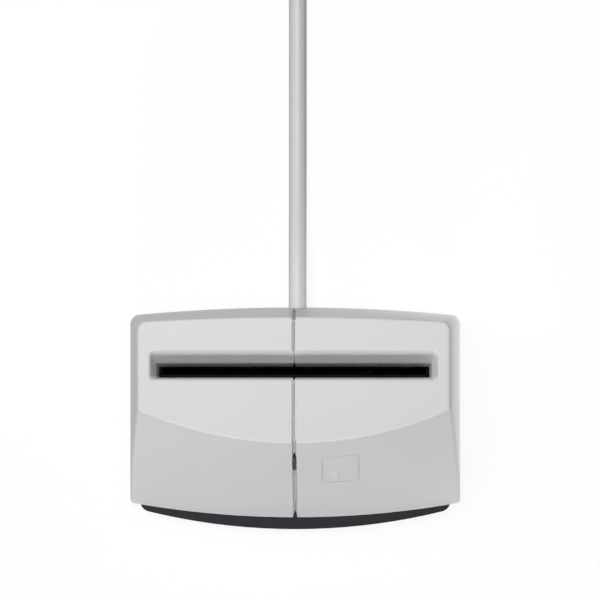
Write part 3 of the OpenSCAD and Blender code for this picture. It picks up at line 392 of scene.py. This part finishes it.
at_plug = Matrix.Translation(plug_at * mm) @ Matrix.Rotation(plug_a, 4, "Z")
plug_grey = finish("plug_grey", (0.44, 0.44, 0.45), (0.49, 0.49, 0.50), 0.5, 0.05, bump=0.12)
for piece in (boot, grip):
    piece.matrix_world = at_plug
    smooth_shade(piece)
    dress(plug_grey, piece)
    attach(piece, "reader")
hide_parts("usb_overmould")
plated = finish("plated_steel", (0.36, 0.36, 0.37), (0.46, 0.46, 0.47), 0.34, 0.06, brushed, 0.1,
    metallic=1)
soften(nodes["usb_shell"], 0.12)
dress(plated, nodes["usb_shell"])
white_nylon = finish("white_nylon", (0.72, 0.72, 0.70), (0.78, 0.78, 0.76), 0.45, 0.05)
dress(white_nylon, nodes["usb_tongue"])
gold = finish("gold_plate", (0.80, 0.56, 0.22), (0.88, 0.64, 0.28), 0.25, 0.05, brushed, 0.06,
    metallic=1)
dress(gold, nodes["usb_contacts"])

# Base: a tray in near-black ABS that closes the shells from below and shows as a dark
# crescent along the front. A steel plate on two pins in it gives weight. Four screws
# from below hold it to the shells, and it stands on four rubber feet.
base_black = finish("base_black", (0.008, 0.007, 0.0105), (0.012, 0.011, 0.015), 0.6, 0.06,
    bump=0.25, specular=0.25)
black_screw = finish("black_screw", (0.10, 0.10, 0.11), (0.16, 0.16, 0.17), 0.4, 0.08, metallic=1)
foot_rubber = finish("foot_rubber", (0.020, 0.020, 0.020), (0.034, 0.034, 0.034), 0.8, 0.06,
    bump=0.4)
soften(nodes["base_tray"], 0.35, 50)
dress(base_black, nodes["base_tray"])
dress(plated, nodes["ballast_plate"])
dress(black_screw, nodes["base_screws"])
dress(foot_rubber, nodes["rubber_feet"])

# Board: an upright circuit board on the front guide's posts, with the controller,
# its crystal, two cans and a row of small resistors, all soldered to its front.
solder_mask = finish("solder_mask", (0.010, 0.085, 0.032), (0.016, 0.12, 0.05), 0.35, 0.05)
epoxy = finish("chip_epoxy", (0.022, 0.022, 0.024), (0.034, 0.034, 0.036), 0.55, 0.06)
tin = finish("tinned", (0.62, 0.62, 0.62), (0.72, 0.72, 0.72), 0.3, 0.06, brushed, 0.05,
    metallic=1)
ivory = finish("ivory_nylon", (0.62, 0.58, 0.46), (0.68, 0.64, 0.52), 0.5, 0.05)
dress(solder_mask, nodes["main_board"])
dress(epoxy, nodes["controller_chip"], nodes["resistors"])
dress(tin, nodes["chip_leads"], nodes["crystal"], nodes["capacitors"])
dress(gold, nodes["header_pins"])
dress(ivory, nodes["board_header"], nodes["wire_plug"], nodes["led"])
soften(nodes["crystal"], 0.25)

# Wires: the cable's four cores in red, white, green and black, from the end of its
# jacket under the guides to the plug on the board.
wires_half = 3.6 * mm
core_red, core_white = (0.45, 0.02, 0.02, 1), (0.7, 0.7, 0.7, 1)
core_green, core_black = (0.02, 0.25, 0.05, 1), (0.02, 0.02, 0.02, 1)
cores = finish("wire_insulation", (0.5, 0.5, 0.5), (0.55, 0.55, 0.55), 0.4, 0.04)
tree = cores.node_tree
place = tree.nodes.new("ShaderNodeTexCoord")
apart = fed(tree, "ShaderNodeSeparateXYZ", place.outputs["Object"])
across = fed(tree, "ShaderNodeMapRange", apart.outputs["X"])
across.inputs["From Min"].default_value = -wires_half
across.inputs["From Max"].default_value = wires_half
tints = fed(tree, "ShaderNodeValToRGB", across.outputs[0])
tints.color_ramp.interpolation = "CONSTANT"
stops = tints.color_ramp.elements
stops.remove(stops[1])
stops[0].color = core_red
for at, core in ((0.28, core_white), (0.5, core_green), (0.72, core_black)):
    stops.new(at).color = core
tree.nodes.remove(tree.nodes["Mix"])
tree.links.new(tints.outputs["Color"], tree.nodes["Principled BSDF"].inputs["Base Color"])
dress(cores, nodes["cable_wires"])

# Grommet: soft grey PVC, moulded on the cable, held in a slot of the tray under a
# rib of the shells; its neck fills the hole in the rear wall.
dress(plug_grey, nodes["cable_grommet"])

# Card channel: two black guides riveted along their rails, the sprung carriage with
# its eight gold plated leaves, and the switch that tells when a card is home.
# Darker than black plastic and nearly without sheen: partly the parts' own black, partly painted
# shade, so that the slot and the funnel's ends read as deep shade.
guide_black_and_painted_shade = finish("guide_black_and_painted_shade", (0.003, 0.003, 0.003), (0.006, 0.006, 0.006), 0.7, 0.06,
    bump=0.1, specular=0.05)
bright = finish("spring_steel", (0.50, 0.50, 0.51), (0.60, 0.60, 0.61), 0.25, 0.05, brushed, 0.05,
    metallic=1)
dress(guide_black_and_painted_shade, nodes["guide_front"], nodes["guide_rear"], nodes["switch_body"],
    nodes["contact_carriage"])
dress(gold, nodes["contact_springs"])
dress(bright, nodes["carriage_spring"], nodes["switch_lever"])

# Light pipe: smoked clear polycarbonate from the light on the board to the small
# pointed window that lies on the seam, near the crease.
smoked = finish("smoked_lens", (0.012, 0.012, 0.014), (0.018, 0.018, 0.020), 0.25, 0.03,
    bump=0.01, specular=0.12)
dress(smoked, nodes["light_pipe"])
soften(nodes["light_pipe"], 0.08, 30)

# Housing: two half shells in light grey ABS with a fine spark-eroded grain, which
# meet in a groove on the middle. Each is moulded with a tapered wall, a top face that
# falls to a curved crease, and its half of the funnel round the card slot.
half_w, rear_y, front_y, skirt_z, overall_h = 34.5, 23.2, -20.7, 3.2, 37.96
wall, slope_run, side_draft, rear_draft, top_fall = 1.8, 15.85, 2.06, 1.86, 1.8
rear_bow, front_bow = (355, 514), (194.5, 80)
rear_corner, front_corner, least_corner = 2, 1, 0.5
rear_steps, rear_corner_steps, front_corner_steps, front_steps = 12, 10, 8, 24
rear_round, top_round, crease_round = 0.6, 1.1, 0.7
slot_from_rear = 13.2
crease_y, top_rear_y, slot_y = front_y + slope_run, rear_y - rear_draft, rear_y - slot_from_rear
top_tilt = top_fall / (top_rear_y - crease_y)


def top_z(y):
    """The height of the top face at that place along the depth."""
    return overall_h - top_tilt * (top_rear_y - y)


slope_rise = top_z(crease_y) - skirt_z
slope_a = math.atan2(slope_rise, slope_run)


def mix(a, b, share):
    """What lies at that share of the way from a to b."""
    return a + (b - a) * share


def bowed(bow, share):
    """The radius of a bow at a share of the height, mixed by curvature from foot to top."""
    return 1 / mix(1 / bow[0], 1 / bow[1], share)


def arc(cx, cy, r, start, end, steps, first_edge, last_edge):
    """Points round a centre, from one angle off +Y to another. Each point's third number is the
    radius of the top edge there."""
    found = []
    for k in range(steps + 1):
        a = start + (end - start) * k / steps
        found.append((cx + r * math.sin(a), cy + r * math.cos(a),
            mix(first_edge, last_edge, k / steps)))
    return found


def housing_outline(share, d):
    """Half the plan outline at a share of the height, from the rear centre round the +X side to
    the front centre, drawn in by d all round."""
    lean = max(share, 0) ** 1.5
    side_x = half_w - side_draft * lean - d
    back_y, back_r = rear_y - rear_draft * lean - d, bowed(rear_bow, share) - d
    foot_y = front_y + slope_run * share + d / math.sin(slope_a)
    foot_r = bowed(front_bow, share) - d
    back_c, foot_c = max(rear_corner - d, least_corner), max(front_corner - d, least_corner)
    back_a = math.asin((side_x - back_c) / (back_r - back_c))
    foot_a = math.pi - math.asin((side_x - foot_c) / (foot_r - foot_c))
    back_cy = back_y - back_r + (back_r - back_c) * math.cos(back_a)
    foot_cy = foot_y + foot_r + (foot_r - foot_c) * math.cos(foot_a)
    return (arc(0, back_y - back_r, back_r, 0, back_a, rear_steps, rear_round, rear_round)
        + arc(side_x - back_c, back_cy, back_c, back_a, math.pi / 2, rear_corner_steps,
            rear_round, top_round)[1:]
        + arc(side_x - foot_c, foot_cy, foot_c, math.pi / 2, foot_a, front_corner_steps,
            top_round, crease_round)
        + arc(0, foot_y + foot_r, foot_r, foot_a, math.pi, front_steps,
            crease_round, crease_round)[1:])


def wall_rings(d, foot, rounded, steps=20):
    """Rings from the foot up to the top face, both drawn in by d; where rounded, each point of
    the last ring stays below the top by its edge's radius."""
    high = (top_z(crease_y) - d - skirt_z) / slope_rise
    low = (foot - skirt_z) / slope_rise
    edge = housing_outline(high, d)
    rings = []
    for k in range(steps + 1):
        here = housing_outline(mix(low, high, k / steps), d)
        rings.append([(x, y, mix(foot, top_z(edge_y) - d - (r if rounded else 0), k / steps))
            for (x, y, r), (_, edge_y, _) in zip(here, edge)])
    return rings


def round_rings(steps=7):
    """Rings that round the top edge over, by the radius that each point of it carries."""
    edge, inner = housing_outline(1, 0), housing_outline(1, top_round)
    rings = []
    for k in range(1, steps + 1):
        s = k / steps
        a, b, c = (1 - s) ** 2, 2 * s * (1 - s), s * s
        ring = []
        for (ex, ey, r), (nx, ny, _) in zip(edge, inner):
            px, py = mix(ex, nx, r / top_round), mix(ey, ny, r / top_round)
            ring.append(((a + b) * ex + c * px, (a + b) * ey + c * py,
                a * (top_z(ey) - r) + b * top_z(ey) + c * top_z(py)))
        rings.append(ring)
    return rings


# Half of the groove along the seam, as distances from the middle and depths: it has a
# flat floor in the rear wall and the top face, and is V shaped down the front.
seam = [(0.05, 0.92), (0.38, 0.92), (0.42, 0.12), (0.49, 0.04), (0.64, 0)]
front_seam = [(0.05, 1.3), (0.12, 1.3), (0.38, 0.14), (0.47, 0.04), (0.64, 0)]


def seamed(ring, down):
    """The ring with its two ends stepped into the groove, which goes inwards where down is 0 and
    downwards where it is 1."""
    _, rear, rear_z = ring[0]
    _, front, front_z = ring[-1]
    rear_end = [(x, rear - (1 - down) * deep, rear_z - down * deep) for x, deep in seam]
    cut = [(mix(a, b, down), mix(c, d, down)) for (a, c), (b, d) in zip(front_seam, seam)]
    front_end = [(x, front + (1 - down) * deep, front_z - down * deep) for x, deep in reversed(cut)]
    return rear_end + ring[1:-1] + front_end


def seam_cap(work, top):
    """Closes the top ring with the groove's steps on the middle and the top face beside them."""
    inner = len(seam) - 1
    for k in range(inner):
        work.faces.new((top[k], top[k + 1], top[-2 - k], top[-1 - k]))
    work.faces.new(top[inner:-inner])


def half_shell(name, side):
    """The outside of one half: side is 1 for the right one and -1 for the left one."""
    rounds = round_rings()
    rings = [seamed(ring, 0) for ring in wall_rings(0, skirt_z, True)]
    rings += [seamed(ring, (k + 1) / len(rounds)) for k, ring in enumerate(rounds)]
    return lofted(name, [[(side * x, y, z) for x, y, z in ring] for ring in rings], seam_cap)


def carve(piece, cutters):
    """Cuts the cutters out of the piece, for good."""
    for cutter in cutters:
        step = piece.modifiers.new("cut", "BOOLEAN")
        step.operation = "DIFFERENCE"
        step.solver = "MANIFOLD"
        step.object = cutter
    bpy.context.view_layer.update()
    seen = piece.evaluated_get(bpy.context.evaluated_depsgraph_get())
    shaped = bpy.data.meshes.new_from_object(seen)
    piece.modifiers.clear()
    piece.data = shaped


def block(name, x0, x1, y0, y1, z0, z1):
    """A plain box between those places."""
    plan = [(x0, y0), (x1, y0), (x1, y1), (x0, y1)]
    return lofted(name, [[(x, y, z) for x, y in plan] for z in (z0, z1)])


# The funnel: each row gives how far it is out at the front, the rear and the ends, its
# height from the throat to the top face, as shares, and the radius of its corners.
slot_w, slot_t, funnel_depth, ledge_depth = 55.8, 1.94, 8.8, 3.4
throat_z = top_z(slot_y) - funnel_depth
ledge_z = top_z(slot_y) - ledge_depth
slot_front_y, slot_rear_y = slot_y - slot_t / 2, slot_y + slot_t / 2
funnel_front, funnel_rear, funnel_side = 1.3, 3.5, 1.75
funnel_rows = [(0.2, 0, 0, -0.12, 0.35), (0.2, 0, 0, 0, 0.35), (0.2, 0.21, 0.28, 0.46, 0.4),
    (0.2, 0.245, 0.32, 0.52, 0.42), (0.2, 0.40, 0.46, 0.614, 0.5), (0.235, 0.53, 0.58, 0.70, 0.6),
    (0.29, 0.69, 0.72, 0.80, 0.7), (0.335, 0.775, 0.79, 0.85, 0.75), (0.39, 0.865, 0.86, 0.90, 0.8),
    (0.45, 0.93, 0.94, 0.944, 0.9), (0.57, 0.97, 1.035, 0.975, 1), (0.77, 1, 1.15, 0.994, 1.1),
    (1.02, 1.04, 1.28, 1.0005, 1.2), (1.04, 1.06, 1.32, 1.12, 1.2)]
funnel_rings = []
for front, rear, end, up, corner in funnel_rows:
    out = slot_w / 2 + funnel_side * end
    rim = round_rect(-out, out, slot_front_y - funnel_front * front,
        slot_rear_y + funnel_rear * rear, corner)
    funnel_rings.append([(x, y, mix(throat_z, top_z(y), up)) for x, y in rim])
funnel = lofted("funnel_cutter", funnel_rings)

# The room inside the shells, less what stays round the funnel as its walls
room_rings = [ring + [(-x, y, z) for x, y, z in ring[-2:0:-1]]
    for ring in wall_rings(wall, skirt_z - 1, False, 8)]
room = lofted("room_cutter", room_rings)
hopper_half, throat_half, throat_in = 31.5, 29.6, 27.85
hopper_front, throat_front = slot_front_y - 1.9, slot_front_y - 1.8
hopper_rear, throat_rear = slot_rear_y + 4.1, slot_rear_y + 1.9
hopper = [block("hopper", -hopper_half, hopper_half, hopper_front, hopper_rear, ledge_z - 1,
    overall_h + 1)]
for name, x0, x1, y0 in (("throat_rear", -throat_half, throat_half, slot_rear_y - 0.05),
        ("throat_left", -throat_half, -throat_in, throat_front),
        ("throat_right", throat_in, throat_half, throat_front)):
    hopper.append(block(name, x0, x1, y0, throat_rear, throat_z, ledge_z))
carve(room, hopper)

# The pointed window, the round hole for the cable, and the pointed notches that the
# groove ends in at the slot
window_z, window_half, window_h, window_tip = 26.65, 0.45, 5.8, 1.1
window_y = front_y + slope_run * (window_z - skirt_z) / slope_rise
window_end = window_h / math.sin(slope_a) / 2
window_side = window_end - window_tip
window_shape = [(-window_half, -window_end), (window_half, -window_end),
    (window_half, window_side), (0, window_end), (-window_half, window_side)]
window = lofted("window_cutter", [[(x, window_y + v * math.cos(slope_a) - n * math.sin(slope_a),
    window_z + v * math.sin(slope_a) + n * math.cos(slope_a)) for x, v in window_shape]
    for n in (-2.3, 1)])
hole_r = 2.4
hole = lofted("cable_cutter", [[(exit_x + x, y, exit_z + z) for x, z in circle(hole_r)]
    for y in (rear_y - 3.2, rear_y + 1.8)])
notch_half = 0.28
notch_front, notch_front_tip = -slot_t / 2 - 0.25, -slot_t / 2 - 1.15
notch_rear, notch_rear_tip = slot_t / 2 + 0.2, slot_t / 2 + 0.85
notch_shape = [(-notch_half, 0), (-notch_half, notch_front), (0, notch_front_tip),
    (notch_half, notch_front), (notch_half, 0), (notch_half, notch_rear), (0, notch_rear_tip),
    (-notch_half, notch_rear)]
notch = lofted("notch_cutter", [[(x, slot_y + y, z) for x, y in notch_shape]
    for z in (throat_z - 1, overall_h + 1)])


# Card picture: a plain card, chip end down, on the right shell's slope. Its outline is a
# fine V groove and its chip a low pad, both cut in the mould. It shows how a card goes in.
def on_slope(x, z, out):
    """The place on the front slope at that x and height, moved out of the surface."""
    edge_y = crease_y + front_bow[1] - math.sqrt(front_bow[1] ** 2 - x * x)
    share = (z - skirt_z) / (top_z(edge_y) - crease_round - skirt_z)
    r = bowed(front_bow, share)
    y = front_y + slope_run * share + r - math.sqrt(r * r - x * x)
    return (x, y - out * math.sin(slope_a), z + out * math.cos(slope_a))


def slope_outline(x0, x1, z0, z1, r, out):
    """A rectangle with round corners laid on the slope, with points along its straight sides."""
    longest_step, side_steps = 0.8, 10
    flat = round_rect(x0, x1, z0, z1, r, 5)
    whole = []
    for (xa, za), (xb, zb) in zip(flat, flat[1:] + flat[:1]):
        steps = side_steps if abs(xb - xa) + abs(zb - za) > longest_step else 1
        whole += [on_slope(mix(xa, xb, k / steps), mix(za, zb, k / steps), out)
            for k in range(steps)]
    return whole


card_x0, card_x1, card_z0, card_z1, card_corner = 5.72, 13.28, 18.2, 29.0, 0.6
groove_half, groove_deep = 0.12, 0.28
groove = lofted("card_groove", [slope_outline(card_x0 + i, card_x1 - i, card_z0 + i, card_z1 - i,
    card_corner - i, out) for i, out in ((-2 * groove_half, groove_deep), (0, -groove_deep),
    (2 * groove_half, groove_deep))], None)
chip_x0, chip_x1, chip_z0, chip_z1, chip_corner = 7.74, 9.36, 19.0, 21.95, 0.3
pad = lofted("card_chip", [slope_outline(chip_x0 + i, chip_x1 - i, chip_z0 + i, chip_z1 - i,
    chip_corner, out) for i, out in ((0, -0.3), (0, 0.08), (0.1, 0.18))])

shell_grey = finish("shell_grey", (0.757, 0.755, 0.775), (0.787, 0.785, 0.805), 0.36, 0.03,
    bump=0.12, specular=0.18)
for name, side, node, extra in (("left_half", -1, "left_shell", []),
        ("right_half", 1, "right_shell", [groove])):
    shell = half_shell(name, side)
    carve(shell, [room, funnel, window, hole, notch] + extra)
    smooth_shade(shell)
    dress(shell_grey, shell)
    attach(shell, "reader")
    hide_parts(node)
smooth_shade(pad)
dress(shell_grey, pad)
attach(pad, "reader")
for cutter in (funnel, room, *hopper, window, hole, notch, groove):
    bpy.data.objects.remove(cutter)
